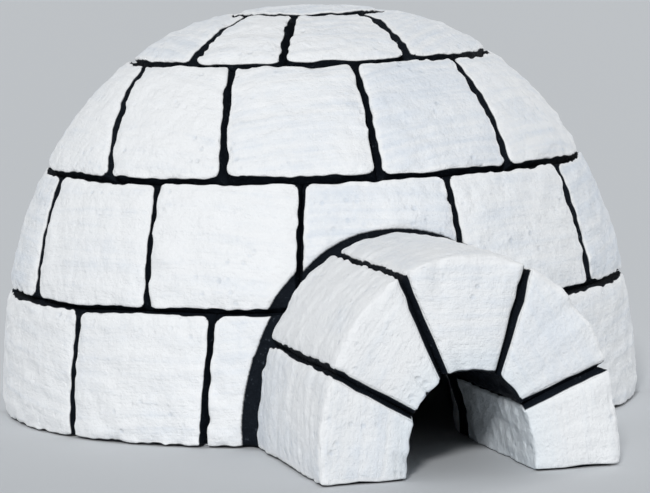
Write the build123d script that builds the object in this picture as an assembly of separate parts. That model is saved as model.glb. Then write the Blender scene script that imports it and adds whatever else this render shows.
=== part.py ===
"""Snow house: a domed room laid in level courses of cut snow blocks, closed by a key block, with a vaulted
crawl-in entrance of five long voussoirs that butt against the dome.

Every block is one solid. Bed joints lie square to the dome's curve, upright joints run towards the room's
axis, and the wall thins from the ground to the key. The entrance points along -Y. Lengths are in
millimetres, angles in degrees, and azimuths run from the entrance's axis, positive towards +X.
"""

from build123d import *
import os
from itertools import accumulate
from math import cos, hypot, radians, sin

# The room
base_radius = 2000  # outside, on the ground
course_heights = (785, 745, 655, 271)  # outside, straight up, from the ground course to the one under the key
key_crown = 34  # how far the key block's top stands above its edge
upright_power = 2.22  # how long the wall stays steep before it turns over
shoulder_power = 2.39  # how full the shoulder is
key_bevel = 18  # lean of the key block's side from the vertical
wall_at_ground = 320
wall_at_key = 240
arris_round = 28  # worn edge round the outside face of each block

# Upright joints of each course, cut by eye: azimuth at the foot and at the head, from the left side of the
# house past the entrance and on round the back. No joint stands in line with one of the course below.
joint_azimuths = (
    ((-100, -100), (-63, -62), (-35, -33), (34, 33), (71, 71), (105, 106), (138, 137), (184, 184), (221, 223)),
    (
        *((-117, -116), (-77, -81), (-46, -48), (-18, -17), (13, 13), (45, 47)),
        *((84, 84), (118, 117), (148, 150), (174, 173), (205, 206)),
    ),
    (
        *((-100, -103), (-62, -79), (-33, -39), (-1, -1), (30, 35)),
        *((71, 75), (104, 106), (139, 135), (183, 180), (222, 225)),
    ),
    ((-118, -120), (-56, -66), (-23, -26), (19, 31), (88, 85), (148, 151), (200, 197)),
)
door_index = 2  # which stretch of the lowest course holds the doorway
full_turn = 360

# The entrance
front_distance = 3230  # room's axis to the entrance's front face
vault_half_width = 870
vault_height = 1220
vault_side_power = 2.14
vault_crown_power = 2.36
passage_half_width = 340
passage_height = 560
passage_side_power = 2.65
passage_crown_power = 2.0
springer_heights = ((628, 330), (566, 356))  # left and right lower joints: height outside, height inside
crown_offsets = ((370, 142), (350, 158))  # left and right upper joints: offset outside, offset inside
front_round = 22  # worn edge round the entrance's front
lintel_half_foot = 120  # door lintel's half width where it meets the passage's crown
lintel_half_head = 190  # and at the top of the lowest course
past = 400  # how far a cutting shape runs beyond what it cuts
spare_azimuth = 12  # how far a ring runs beyond the joints that cut it, in degrees

# The beds are level, and the dome is as high as its courses and its key block.
bed_heights = (0, *accumulate(course_heights))
top_level = len(course_heights)
key_height = bed_heights[top_level]
rise = key_height + key_crown

# The house stands on the middle of its footprint.
footprint_shift = (front_distance - base_radius) / 2


def outside_radius(height):
    """Outside radius of the dome at a height."""
    return base_radius * (1 - (height / rise) ** upright_power) ** (1 / shoulder_power)


def inward(radius, height):
    """Unit direction square to the dome's outside, into the wall, as (radial, vertical)."""
    across = shoulder_power / base_radius * (radius / base_radius) ** (shoulder_power - 1)
    along = upright_power / rise * (height / rise) ** (upright_power - 1)
    size = hypot(across, along)
    return -across / size, -along / size


def wall(height):
    """Wall thickness at a height."""
    return wall_at_ground + (wall_at_key - wall_at_ground) * height / rise


def inside_point(height):
    """Point on the room's inside, square in from the outside at a height, as (radius, height)."""
    radius = outside_radius(height)
    toward_axis, down = inward(radius, height)
    return radius + toward_axis * wall(height), height + down * wall(height)


key_radius = outside_radius(key_height)
key_inside_apex = rise - wall_at_key
key_inside_radius = key_radius - wall_at_key * sin(radians(key_bevel))
key_inside_height = key_height - wall_at_key * cos(radians(key_bevel))


def outside_bed(level):
    """Outside end of a bed joint, as (radius, height)."""
    return outside_radius(bed_heights[level]), bed_heights[level]


def inside_bed(level):
    """Inside end of a bed joint, as (radius, height). The key's bed leans by its own bevel."""
    if level == 0:
        return base_radius - wall_at_ground, 0
    if level == top_level:
        return key_inside_radius, key_inside_height
    return inside_point(bed_heights[level])


def course_section(level):
    """Section of one course on the XZ plane: two beds joined by an outside and an inside arc."""
    middle = (bed_heights[level] + bed_heights[level + 1]) / 2
    low_out, high_out = outside_bed(level), outside_bed(level + 1)
    low_in, high_in = inside_bed(level), inside_bed(level + 1)
    edges = (
        ThreePointArc(low_out, (outside_radius(middle), middle), high_out)
        + Line(high_out, high_in)
        + ThreePointArc(high_in, inside_point(middle), low_in)
        + Line(low_in, low_out)
    )
    return Plane.XZ * make_face(edges)


def round_the_room(end, azimuth):
    """Point of the room at a (radius, height) end of a bed joint and an azimuth."""
    radius, height = end
    return Vector(radius * sin(radians(azimuth)), -radius * cos(radians(azimuth)), height)


def joint_plane(level, joint):
    """Plane of an upright joint: through its foot and head outside, and the room's axis at mid height."""
    foot = round_the_room(outside_bed(level), joint[0])
    head = round_the_room(outside_bed(level + 1), joint[1])
    heart = Vector(0, 0, (foot.Z + head.Z) / 2)
    normal = (foot - heart).cross(head - heart).normalized()
    return Plane(origin=heart, z_dir=normal)


def sector(level, left, right):
    """Piece of a course between two upright joints, cut from a ring that is longer by a few degrees."""
    start = min(left) - spare_azimuth
    sweep = max(right) + spare_azimuth - start
    ring = revolve(course_section(level), Axis.Z, revolution_arc=sweep)
    piece = Rot(0, 0, start - 90) * ring
    piece = split(piece, bisect_by=joint_plane(level, left), keep=Keep.BOTTOM)
    return split(piece, bisect_by=joint_plane(level, right), keep=Keep.TOP)


def outside_face(block):
    """Face of a block that lies on the dome's outside."""
    return max(block.faces(), key=lambda face: Vector(*face.center()).length)


def worn(block, on_ground):
    """Block with the edges round its outside face rounded off, apart from one that stands on the ground."""
    edges = [edge for edge in outside_face(block).edges() if not (on_ground and edge.bounding_box().max.Z < 1)]
    return fillet(edges, arris_round)


def key_block():
    """Bevelled plug that closes the crown, lightly domed outside and inside."""
    rim, inner_rim = (key_radius, key_height), (key_inside_radius, key_inside_height)
    edges = (
        TangentArc((0, rise), rim, tangent=(1, 0))
        + Line(rim, inner_rim)
        + TangentArc((0, key_inside_apex), inner_rim, tangent=(1, 0))
        + Line((0, key_inside_apex), (0, rise))
    )
    plug = revolve(Plane.XZ * make_face(edges), Axis.Z)
    rim_edges = [edge for edge in plug.edges() if abs(edge.center().Z - key_height) < 1]
    return fillet(rim_edges, arris_round)


def vault_outside_x(height):
    """Half width of the vault's outside at a height."""
    return vault_half_width * (1 - (height / vault_height) ** vault_crown_power) ** (1 / vault_side_power)


def vault_outside_z(offset):
    """Height of the vault's outside at an offset from its axis."""
    return vault_height * (1 - (abs(offset) / vault_half_width) ** vault_side_power) ** (1 / vault_crown_power)


def passage_x(height):
    """Half width of the passage at a height."""
    return passage_half_width * (1 - (height / passage_height) ** passage_crown_power) ** (1 / passage_side_power)


def passage_z(offset):
    """Height of the passage at an offset from its axis."""
    return passage_height * (1 - (abs(offset) / passage_half_width) ** passage_side_power) ** (
        1 / passage_crown_power
    )


def joint_ends():
    """Outside and inside ends of the six vault joints from left to right, the two on the ground included."""
    (left_out, left_in), (right_out, right_in) = springer_heights
    (left_far, left_near), (right_far, right_near) = crown_offsets
    return (
        ((-vault_half_width, 0), (-passage_half_width, 0)),
        ((-vault_outside_x(left_out), left_out), (-passage_x(left_in), left_in)),
        ((-left_far, vault_outside_z(left_far)), (-left_near, passage_z(left_near))),
        ((right_far, vault_outside_z(right_far)), (right_near, passage_z(right_near))),
        ((vault_outside_x(right_out), right_out), (passage_x(right_in), right_in)),
        ((vault_half_width, 0), (passage_half_width, 0)),
    )


def on_curve(first, second, width_at, height_at):
    """Point half-way round a stretch of an arch, found by height on the sides and by offset at the crown."""
    offset, height = (first[0] + second[0]) / 2, (first[1] + second[1]) / 2
    steep = abs(second[1] - first[1]) > abs(second[0] - first[0])
    if steep:
        side = -1 if offset < 0 else 1
        return side * width_at(height), height
    return offset, height_at(offset)


def voussoir_section(left, right):
    """Section of one voussoir on the XZ plane, between two joints."""
    (left_out, left_in), (right_out, right_in) = left, right
    edges = (
        ThreePointArc(left_out, on_curve(left_out, right_out, vault_outside_x, vault_outside_z), right_out)
        + Line(right_out, right_in)
        + ThreePointArc(right_in, on_curve(left_in, right_in, passage_x, passage_z), left_in)
        + Line(left_in, left_out)
    )
    return make_face(edges)


def along_entrance(section, front, back):
    """Prism of a section on the XZ plane from one distance in front of the room's axis to a nearer one."""
    return extrude(Plane((0, -front, 0), x_dir=(1, 0, 0), z_dir=(0, -1, 0)) * section, -(front - back))


def dome_solid():
    """The whole dome as one solid mass, for cutting the entrance's blocks to its outside."""
    outline = Line((0, 0), outside_bed(0))
    for level in range(top_level):
        middle = (bed_heights[level] + bed_heights[level + 1]) / 2
        outline += ThreePointArc(outside_bed(level), (outside_radius(middle), middle), outside_bed(level + 1))
    outline += Line(outside_bed(top_level), (0, key_height))
    outline += Line((0, key_height), (0, 0))
    return revolve(Plane.XZ * make_face(outline), Axis.Z)


def passage_solid():
    """Cutting shape of the passage, from before the entrance's front to well inside the room."""
    ends = [inside for outside, inside in joint_ends()]
    outline = Line(ends[-1], ends[0])
    for first, second in zip(ends, ends[1:]):
        outline += ThreePointArc(first, on_curve(first, second, passage_x, passage_z), second)
    room_end = base_radius - wall_at_ground - past
    return along_entrance(make_face(outline), front_distance + past, room_end)


def front_worn(block):
    """Voussoir with the edges round its front face rounded off, apart from one that stands on the ground."""
    front = min(block.faces(), key=lambda face: face.center().Y)
    edges = [edge for edge in front.edges() if edge.bounding_box().max.Z > 1]
    return fillet(edges, front_round)


def voussoirs():
    """The five blocks of the entrance, cut to the dome's outside."""
    names = ("foot_left", "haunch_left", "crown", "haunch_right", "foot_right")
    ends = joint_ends()
    dome = dome_solid()
    blocks = {}
    for name, left, right in zip(names, ends, ends[1:]):
        block = along_entrance(voussoir_section(left, right), front_distance, 0) - dome
        block = max(block.solids(), key=lambda piece: piece.volume)
        blocks[f"entrance_{name}"] = front_worn(block)
    return blocks


def lintel_plane(side):
    """Joint beside the door lintel: it leans outwards from the crown of the passage to the top of the course."""
    foot = Vector(side * lintel_half_foot, 0, passage_height)
    head = Vector(side * lintel_half_head, 0, course_heights[0])
    normal = Vector(0, 1, 0).cross(head - foot).normalized()
    return Plane(origin=foot, z_dir=normal)


def door_blocks():
    """Two jambs and a lintel of the lowest course, with the passage cut through them."""
    left, right = joint_azimuths[0][door_index : door_index + 2]
    wall_piece = worn(sector(0, left, right), True) - passage_solid()
    left_jamb = split(wall_piece, bisect_by=lintel_plane(-1), keep=Keep.BOTTOM)
    rest = split(wall_piece, bisect_by=lintel_plane(-1), keep=Keep.TOP)
    lintel = split(rest, bisect_by=lintel_plane(1), keep=Keep.BOTTOM)
    right_jamb = split(rest, bisect_by=lintel_plane(1), keep=Keep.TOP)
    return {"door_jamb_left": left_jamb, "door_lintel": lintel, "door_jamb_right": right_jamb}


def course_blocks(level):
    """All plain blocks of a course, numbered from the left side of the house."""
    joints = joint_azimuths[level]
    first_foot, first_head = joints[0]
    closed = (*joints, (first_foot + full_turn, first_head + full_turn))
    blocks = {}
    number = 1
    for index, (left, right) in enumerate(zip(closed, closed[1:])):
        if level == 0 and index == door_index:
            continue
        blocks[f"course_{level + 1}_block_{number:02d}"] = worn(sector(level, left, right), level == 0)
        number += 1
    return blocks


def all_blocks():
    """Every block of the house by name, in the room's own frame."""
    blocks = {}
    for level in range(top_level):
        blocks.update(course_blocks(level))
    blocks["key_block"] = key_block()
    blocks.update(door_blocks())
    blocks.update(voussoirs())
    return blocks


os.makedirs("parts", exist_ok=True)
for name, block in all_blocks().items():
    export_step(Pos(0, footprint_shift, 0) * block, f"parts/{name}.step")
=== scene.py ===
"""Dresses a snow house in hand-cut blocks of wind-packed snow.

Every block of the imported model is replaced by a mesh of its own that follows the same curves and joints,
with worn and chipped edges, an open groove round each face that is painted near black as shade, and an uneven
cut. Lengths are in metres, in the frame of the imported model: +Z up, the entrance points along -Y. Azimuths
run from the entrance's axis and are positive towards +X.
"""

import logging
import math
import zlib
from collections.abc import Callable, Iterator
from dataclasses import dataclass
from enum import Enum, IntEnum
from itertools import accumulate, product

import bpy
import numpy as np
from mathutils import Matrix, Vector


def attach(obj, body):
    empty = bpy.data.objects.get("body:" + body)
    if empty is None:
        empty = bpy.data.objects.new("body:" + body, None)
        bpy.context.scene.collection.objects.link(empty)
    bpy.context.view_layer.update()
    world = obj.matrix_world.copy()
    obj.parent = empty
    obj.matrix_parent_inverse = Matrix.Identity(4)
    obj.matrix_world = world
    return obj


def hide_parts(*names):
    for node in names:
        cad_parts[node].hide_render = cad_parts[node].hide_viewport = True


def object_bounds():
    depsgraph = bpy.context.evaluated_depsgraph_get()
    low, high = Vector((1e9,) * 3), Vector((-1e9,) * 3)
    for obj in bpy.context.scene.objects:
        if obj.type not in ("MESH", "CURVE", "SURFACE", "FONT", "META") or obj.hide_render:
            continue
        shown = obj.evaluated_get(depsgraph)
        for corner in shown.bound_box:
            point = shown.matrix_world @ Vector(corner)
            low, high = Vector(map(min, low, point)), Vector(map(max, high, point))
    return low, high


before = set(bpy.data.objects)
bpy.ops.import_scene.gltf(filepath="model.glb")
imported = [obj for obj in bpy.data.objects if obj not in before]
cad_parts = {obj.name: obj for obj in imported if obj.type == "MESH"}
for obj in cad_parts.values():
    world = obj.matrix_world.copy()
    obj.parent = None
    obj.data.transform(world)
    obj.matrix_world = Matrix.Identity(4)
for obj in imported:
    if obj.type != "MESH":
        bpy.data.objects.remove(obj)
cad_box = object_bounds()

Array = np.ndarray
Point = tuple[float, float]
Joint = tuple[float, float]
Pair = tuple[float, float]
Range = tuple[float, float]
Triple = tuple[float, float, float]
Colour = Triple
log = logging.getLogger("snow_house")

# step for a direction that is taken from two places
SMALL_STEP = 0.01
# distance that stands for nothing near
NOTHING_NEAR = 1.0
# seeds of what neighbouring blocks share, so that they still meet
WANDER_SEEDS = (0, 1, 2)
GROOVE_SEED = 3


class Axis(Enum):
    """Directions of a block's own space."""

    ACROSS = 0
    UP = 1
    DEEP = 2


class Bedding(Enum):
    """What a side of a block meets."""

    OPEN = "open to the air"
    JOINT = "another block"
    GROUND = "the ground"


class Choice(IntEnum):
    """What is left to chance on a block. Each has a seed of its own, this far past the block's."""

    CHIPS = 0
    WEAR = 1
    LEAN = 2
    UNEVENNESS = 3
    FACETS = 4
    TONE = 5
    LAYERS = 6
    GRAIN = 7


# a side of a block: an axis, and whether it is the far end of it
Side = tuple[Axis, bool]


def mix(first: Array | float, second: Array | float, share: Array | float) -> Array | float:
    """Straight mix of two values."""
    return first + (second - first) * share


def eased(low: float, high: float, value: Array) -> Array:
    """Smooth step from 0 at low to 1 at high."""
    share = np.clip((value - low) / (high - low), 0.0, 1.0)
    return share * share * (3.0 - 2.0 * share)


@dataclass(frozen=True)
class Undulation:
    """Smooth seeded unevenness with a spread of 1, a sum of plane waves of about one length.

    Attributes:
        wavelength: That length.
        seed: Seed of the waves' headings, lengths and phases.
        length_range: Shortest and longest wave, as shares of that length.
        waves: How many waves there are.
    """

    wavelength: float
    seed: int
    length_range: Range = (0.7, 1.4)
    waves: int = 24

    def at(self, points: Array) -> Array:
        """Value of the unevenness.

        Args:
            points: Places to look at, one row each.

        Returns:
            One number for each place.
        """
        random = np.random.default_rng(self.seed)
        headings = random.normal(size=(self.waves, 3))
        headings /= np.linalg.norm(headings, axis=1)[:, None]
        lengths = self.wavelength * random.uniform(*self.length_range, self.waves)
        phases = random.uniform(0.0, math.tau, self.waves)
        turns = points @ (headings * (math.tau / lengths)[:, None]).T + phases
        return np.sin(turns).sum(axis=1) * math.sqrt(2.0 / self.waves)


@dataclass(frozen=True)
class KnifeFacets:
    """Shallow scoops side by side, as the long strokes of a snow knife leave them.

    Attributes:
        width: Width of a scoop.
        seed: Seed of the strokes. Their bends use the next one.
        most_lean: Degrees that the strokes lean at most.
        bend: Spread of the strokes' bends, in widths.
        bend_length: Length over which a stroke bends, in widths.
    """

    width: float
    seed: int
    most_lean: float = 18.0
    bend: float = 0.22
    bend_length: float = 4.0

    def at(self, along: Array, over: Array) -> Array:
        """Depth of the scoops.

        Args:
            along: Distances along the strokes.
            over: Distances across the strokes.

        Returns:
            One number for each place, from 0 on the ridges to 1 in the middle of a scoop.
        """
        random = np.random.default_rng(self.seed)
        lean = math.radians(random.uniform(-self.most_lean, self.most_lean))
        line = (over * math.cos(lean) + along * math.sin(lean)) / self.width + random.uniform(0.0, 1.0)
        places = np.stack([along, over, np.zeros_like(along)], axis=1)
        bends = Undulation(self.bend_length * self.width, self.seed + 1)
        line = line + self.bend * bends.at(places)
        from_middle = 2.0 * (line % 1.0) - 1.0
        return 1.0 - from_middle**2


class Arc:
    """Arc of a circle through three points of a plane."""

    def __init__(self, start: Point, middle: Point, end: Point) -> None:
        """Works out the circle.

        Args:
            start: First end.
            middle: Any point between the ends.
            end: Last end.
        """
        (ax, ay), (bx, by), (cx, cy) = start, middle, end
        twice = 2.0 * (ax * (by - cy) + bx * (cy - ay) + cx * (ay - by))
        squares = [x * x + y * y for x, y in (start, middle, end)]
        x = (squares[0] * (by - cy) + squares[1] * (cy - ay) + squares[2] * (ay - by)) / twice
        y = (squares[0] * (cx - bx) + squares[1] * (ax - cx) + squares[2] * (bx - ax)) / twice
        self.centre = (x, y)
        self.radius = math.hypot(ax - x, ay - y)
        self.first = math.atan2(ay - y, ax - x)
        turn = math.atan2(cy - y, cx - x) - self.first
        self.turn = (turn + math.pi) % math.tau - math.pi
        self.length = abs(self.turn) * self.radius

    def at(self, share: Array) -> tuple[Array, Array]:
        """Points along the arc, as two rows of coordinates, for shares of its length."""
        angle = self.first + self.turn * share
        return self.centre[0] + self.radius * np.cos(angle), self.centre[1] + self.radius * np.sin(angle)


@dataclass(frozen=True)
class Section:
    """Slice through a wall or a vault: an outer and an inner arc, and straight beds between their ends."""

    outer: Arc
    inner: Arc

    def at(self, along: Array, deep: Array) -> tuple[Array, Array]:
        """Point of the slice, for shares along the arcs and from the outer arc to the inner one."""
        outer, inner = self.outer.at(along), self.inner.at(along)
        return mix(outer[0], inner[0], deep), mix(outer[1], inner[1], deep)

    def length(self, deep: Array) -> Array:
        """Length along the slice at shares from the outer arc to the inner one."""
        return mix(self.outer.length, self.inner.length, deep)


@dataclass(frozen=True)
class RoomShape:
    """Curves of the domed room, about its own axis.

    Attributes:
        base_radius: Outside radius on the ground.
        course_heights: Outside heights of the courses, from the lowest up.
        key_crown: Height of the key block's crown over its rim.
        upright_power: Power of the height in the dome's curve: the larger, the more upright the walls.
        shoulder_power: Power of the radius in it: the larger, the fuller the shoulders.
        key_bevel: Angle of the key block's side from upright.
        wall_at_ground: Wall thickness on the ground.
        wall_at_key: Wall thickness at the crown.
    """

    base_radius: float = 2.0
    course_heights: tuple[float, ...] = (0.785, 0.745, 0.655, 0.271)
    key_crown: float = 0.034
    upright_power: float = 2.22
    shoulder_power: float = 2.39
    key_bevel: float = math.radians(18.0)
    wall_at_ground: float = 0.32
    wall_at_key: float = 0.24

    @property
    def bed_heights(self) -> tuple[float, ...]:
        """Outside heights of all beds, from the ground to the key block's."""
        return tuple(accumulate(self.course_heights, initial=0.0))

    @property
    def top_level(self) -> int:
        """Number of the key block's bed."""
        return len(self.course_heights)

    @property
    def rise(self) -> float:
        """Height of the dome."""
        return self.bed_heights[-1] + self.key_crown

    @property
    def key_radius(self) -> float:
        """Outside radius of the key block."""
        return float(self.outside_radius(self.bed_heights[-1]))

    def outside_radius(self, height: Array | float) -> Array | float:
        """Outside radius at a height."""
        share = np.clip(height / self.rise, 0.0, 1.0)
        return self.base_radius * (1.0 - share**self.upright_power) ** (1.0 / self.shoulder_power)

    def wall(self, height: float) -> float:
        """Wall thickness at a height."""
        return mix(self.wall_at_ground, self.wall_at_key, height / self.rise)

    def inside(self, height: float) -> Point:
        """Point of the inside, square in from the outside at a height, as radius and height."""
        radius = self.outside_radius(height)
        wide, high = radius / self.base_radius, height / self.rise
        across = self.shoulder_power / self.base_radius * wide ** (self.shoulder_power - 1.0)
        along = self.upright_power / self.rise * high ** (self.upright_power - 1.0)
        step = self.wall(height) / math.hypot(across, along)
        return radius - across * step, height - along * step

    def outside_bed(self, level: int) -> Point:
        """Outside end of a bed, as radius and height."""
        height = self.bed_heights[level]
        return float(self.outside_radius(height)), height

    def inside_bed(self, level: int) -> Point:
        """Inside end of a bed, as radius and height."""
        if level == 0:
            return self.base_radius - self.wall_at_ground, 0.0
        if level == self.top_level:
            radius, height = self.outside_bed(level)
            return (
                radius - self.wall_at_key * math.sin(self.key_bevel),
                height - self.wall_at_key * math.cos(self.key_bevel),
            )
        return self.inside(self.bed_heights[level])

    def course(self, level: int) -> Section:
        """Slice through one course."""
        middle = (self.bed_heights[level] + self.bed_heights[level + 1]) / 2.0
        outside_middle = (float(self.outside_radius(middle)), middle)
        return Section(
            Arc(self.outside_bed(level), outside_middle, self.outside_bed(level + 1)),
            Arc(self.inside_bed(level), self.inside(middle), self.inside_bed(level + 1)),
        )


@dataclass(frozen=True)
class VaultShape:
    """Curves of the entrance vault and of the passage under it, square to the passage.

    Attributes:
        front_distance: Distance of the entrance's front from the room's axis.
        half_width: Half width of the vault on the ground.
        height: Height of the vault.
        side_power: Power of the width in the vault's curve.
        crown_power: Power of the height in it.
        passage_half_width: Half width of the passage on the ground.
        passage_height: Height of the passage.
        passage_side_power: Power of the width in the passage's curve.
        passage_crown_power: Power of the height in it.
        springer_heights: Heights of the outside and the inside end of the lower joints, left then right.
        crown_offsets: Offsets of the outside and the inside end of the crown's joints, left then right.
        last_voussoir: Number of the last voussoir, counted from 0.
        least_steepness: Least steepness that a distance from the outline is worked out with.
    """

    front_distance: float = 3.23
    half_width: float = 0.87
    height: float = 1.22
    side_power: float = 2.14
    crown_power: float = 2.36
    passage_half_width: float = 0.34
    passage_height: float = 0.56
    passage_side_power: float = 2.65
    passage_crown_power: float = 2.0
    springer_heights: tuple[Pair, Pair] = ((0.628, 0.33), (0.566, 0.356))
    crown_offsets: tuple[Pair, Pair] = ((0.370, 0.142), (0.350, 0.158))
    last_voussoir: int = 4
    least_steepness: float = 0.5

    def outside_x(self, height: float) -> float:
        """Half width of the vault at a height."""
        flat = 1.0 - (height / self.height) ** self.crown_power
        return self.half_width * flat ** (1.0 / self.side_power)

    def outside_z(self, offset: float) -> float:
        """Height of the vault at an offset from its axis."""
        flat = 1.0 - (abs(offset) / self.half_width) ** self.side_power
        return self.height * flat ** (1.0 / self.crown_power)

    def passage_x(self, height: Array | float) -> Array | float:
        """Half width of the passage at a height."""
        share = np.clip(height / self.passage_height, 0.0, 1.0)
        flat = 1.0 - share**self.passage_crown_power
        return self.passage_half_width * flat ** (1.0 / self.passage_side_power)

    def passage_z(self, offset: Array | float) -> Array | float:
        """Height of the passage at an offset from its axis."""
        share = np.clip(np.abs(offset) / self.passage_half_width, 0.0, 1.0)
        flat = 1.0 - share**self.passage_side_power
        return self.passage_height * flat ** (1.0 / self.passage_crown_power)

    def beside(self, offset: Array, height: Array) -> Array:
        """Distance outside the vault's outline, below 0 inside it. True near the outline only."""
        across, up = np.abs(offset) / self.half_width, np.clip(height, 0.0, None) / self.height
        value = across**self.side_power + up**self.crown_power - 1.0
        steepness = np.hypot(
            self.side_power * across ** (self.side_power - 1.0) / self.half_width,
            self.crown_power * up ** (self.crown_power - 1.0) / self.height,
        )
        return value / np.maximum(steepness, self.least_steepness)

    def joints(self) -> tuple[tuple[Point, Point], ...]:
        """Outside and inside ends of the six joints from left to right, the two on the ground included."""
        (left_out, left_in), (right_out, right_in) = self.springer_heights
        (left_far, left_near), (right_far, right_near) = self.crown_offsets
        return (
            ((-self.half_width, 0.0), (-self.passage_half_width, 0.0)),
            ((-self.outside_x(left_out), left_out), (-float(self.passage_x(left_in)), left_in)),
            ((-left_far, self.outside_z(left_far)), (-left_near, float(self.passage_z(left_near)))),
            ((right_far, self.outside_z(right_far)), (right_near, float(self.passage_z(right_near)))),
            ((self.outside_x(right_out), right_out), (float(self.passage_x(right_in)), right_in)),
            ((self.half_width, 0.0), (self.passage_half_width, 0.0)),
        )

    def voussoir(self, index: int) -> Section:
        """Slice through one of the five voussoirs, counted from the left."""
        (left_out, left_in), (right_out, right_in) = self.joints()[index : index + 2]
        outer = self._between(left_out, right_out, self.outside_x, self.outside_z)
        inner = self._between(left_in, right_in, self.passage_x, self.passage_z)
        return Section(Arc(left_out, outer, right_out), Arc(left_in, inner, right_in))

    @staticmethod
    def _between(
        first: Point, second: Point, width_at: Callable[[float], float], height_at: Callable[[float], float]
    ) -> Point:
        """Point half-way along a stretch of an arch.

        Args:
            first: One end of the stretch.
            second: Its other end.
            width_at: Gives the arch's half width at a height, used on the sides.
            height_at: Gives the arch's height at an offset, used at the crown.

        Returns:
            The point, as offset and height.
        """
        offset, height = (first[0] + second[0]) / 2.0, (first[1] + second[1]) / 2.0
        if abs(second[1] - first[1]) > abs(second[0] - first[0]):
            return math.copysign(float(width_at(height)), offset), height
        return offset, float(height_at(offset))


class JointPlane:
    """Upright joint of a course: the plane through its foot, its head and the room's axis at mid height."""

    def __init__(self, foot: Point, head: Point, joint: Joint, gape: float) -> None:
        """Works out the plane.

        Args:
            foot: Radius and height of the joint's foot outside.
            head: Radius and height of its head outside.
            joint: Azimuths of foot and head in degrees, from the entrance's axis towards +X.
            gape: How wide the joint stands open, as a share of the course's groove.
        """
        self.gape = gape
        self.heart = (foot[1] + head[1]) / 2.0
        low = self._place(foot, joint[0]) - Vector((0.0, 0.0, self.heart))
        high = self._place(head, joint[1]) - Vector((0.0, 0.0, self.heart))
        normal = high.cross(low)
        level = math.hypot(normal.x, normal.y)
        self.lean = normal.z / level
        middle = math.radians(joint[0] + joint[1]) / 2.0
        turn = math.atan2(normal.y, normal.x) - middle
        self.trace = middle + (turn + math.pi) % math.tau - math.pi

    @staticmethod
    def _place(end: Point, azimuth: float) -> Vector:
        """Point of the room at a radius and height, and an azimuth in degrees."""
        angle = math.radians(azimuth)
        return Vector((end[0] * math.sin(angle), -end[0] * math.cos(angle), end[1]))

    def azimuth(self, radius: Array, height: Array) -> Array:
        """Azimuth of the plane, in radians, at radii and heights."""
        return self.trace - np.arcsin(self.lean * (height - self.heart) / radius)


@dataclass(frozen=True)
class Cut:
    """How a block was cut and how it has worn.

    Attributes:
        edge_radius: Radius of the edges.
        edge_turns: Degrees from a face at which a rounded edge gets a line of the mesh.
        corner_radius: Radius of the outer face's corners, seen square on.
        corner_fades: Whether the corners get sharp again deep in the joints.
        groove: How far the block stands back from an open joint.
        groove_change: Spread of the groove along a joint, as a share of it.
        groove_change_length: Length over which the groove changes.
        groove_limits: Least and greatest groove, as shares of it.
        groove_depth: Depth down to which a joint stands open in full.
        seat_depth: Depth at which the blocks bear on each other.
        inner_groove: How far the block stands back from a joint on its inner side.
        foot_gap: How far it stands back from the ground.
        foot_shade: Width of the rim of an underside that is painted near black, as the shade at the ground.
        chase: Depth of the chase round a block that butts on the outer face.
        chase_starts: Distances outside the butting block between which the chase sets in, below 0 behind it.
        chase_ends: Distances between which it runs out.
        spacing: Distance between the lines of the mesh.
        depth_growth: How many times further apart each next line into the depth is.
        swell: How far the face stands back at its edges.
        swell_reach: Distance from the edges at which the face is full.
        lean: How far the face stands back in its middle.
        lean_change: How much of that each side gives or takes at most, as the face leans.
        wander: Spread of the joints' wandering.
        wander_length: Length over which they wander.
        level_height: Height below which the wandering fades, so that the feet stay level.
        sinking: How many spreads an unevenness lies below the true face on average.
        unevenness: Spread of the cut's unevenness.
        unevenness_length: Length of it.
        grain: Spread of the fine unevenness.
        grain_length: Length of it.
        facet: Depth of the knife's scoops.
        facet_width: Width of them.
        wear: How much the edges have lost.
        wear_mean: Average of that loss, as a share.
        wear_spread: Spread of it.
        wear_most: Most of it.
        wear_length: Length over which it changes.
        wear_reach: How far in from an edge the wear reaches, in edge radii.
        chips_per_metre: Chips on each metre of edge.
        chip_size: Least and greatest reach of a chip.
        chip_depth: Least and greatest depth of a chip.
        chip_flank: Steepness of a chip's flanks. Over 1 its middle is flat.
    """

    edge_radius: float = 0.017
    edge_turns: Triple = (45.0, 30.0, 15.0)
    corner_radius: float = 0.055
    corner_fades: bool = True
    groove: float = 0.017
    groove_change: float = 0.16
    groove_change_length: float = 0.5
    groove_limits: Range = (0.5, 1.5)
    groove_depth: float = 0.05
    seat_depth: float = 0.09
    inner_groove: float = 0.006
    foot_gap: float = 0.009
    foot_shade: float = 0.08
    chase: float = 0.024
    chase_starts: Range = (-0.06, -0.03)
    chase_ends: Range = (0.0, 0.030)
    spacing: float = 0.0165
    depth_growth: float = 1.45
    swell: float = 0.008
    swell_reach: float = 0.14
    lean: float = 0.007
    lean_change: float = 0.5
    wander: float = 0.006
    wander_length: float = 0.7
    level_height: float = 0.25
    sinking: float = 1.5
    unevenness: float = 0.0034
    unevenness_length: float = 0.22
    grain: float = 0.0016
    grain_length: float = 0.075
    facet: float = 0.0055
    facet_width: float = 0.15
    wear: float = 0.007
    wear_mean: float = 0.6
    wear_spread: float = 0.6
    wear_most: float = 2.0
    wear_length: float = 0.12
    wear_reach: float = 1.3
    chips_per_metre: float = 1.6
    chip_size: Range = (0.028, 0.065)
    chip_depth: Range = (0.006, 0.016)
    chip_flank: float = 1.3


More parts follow.
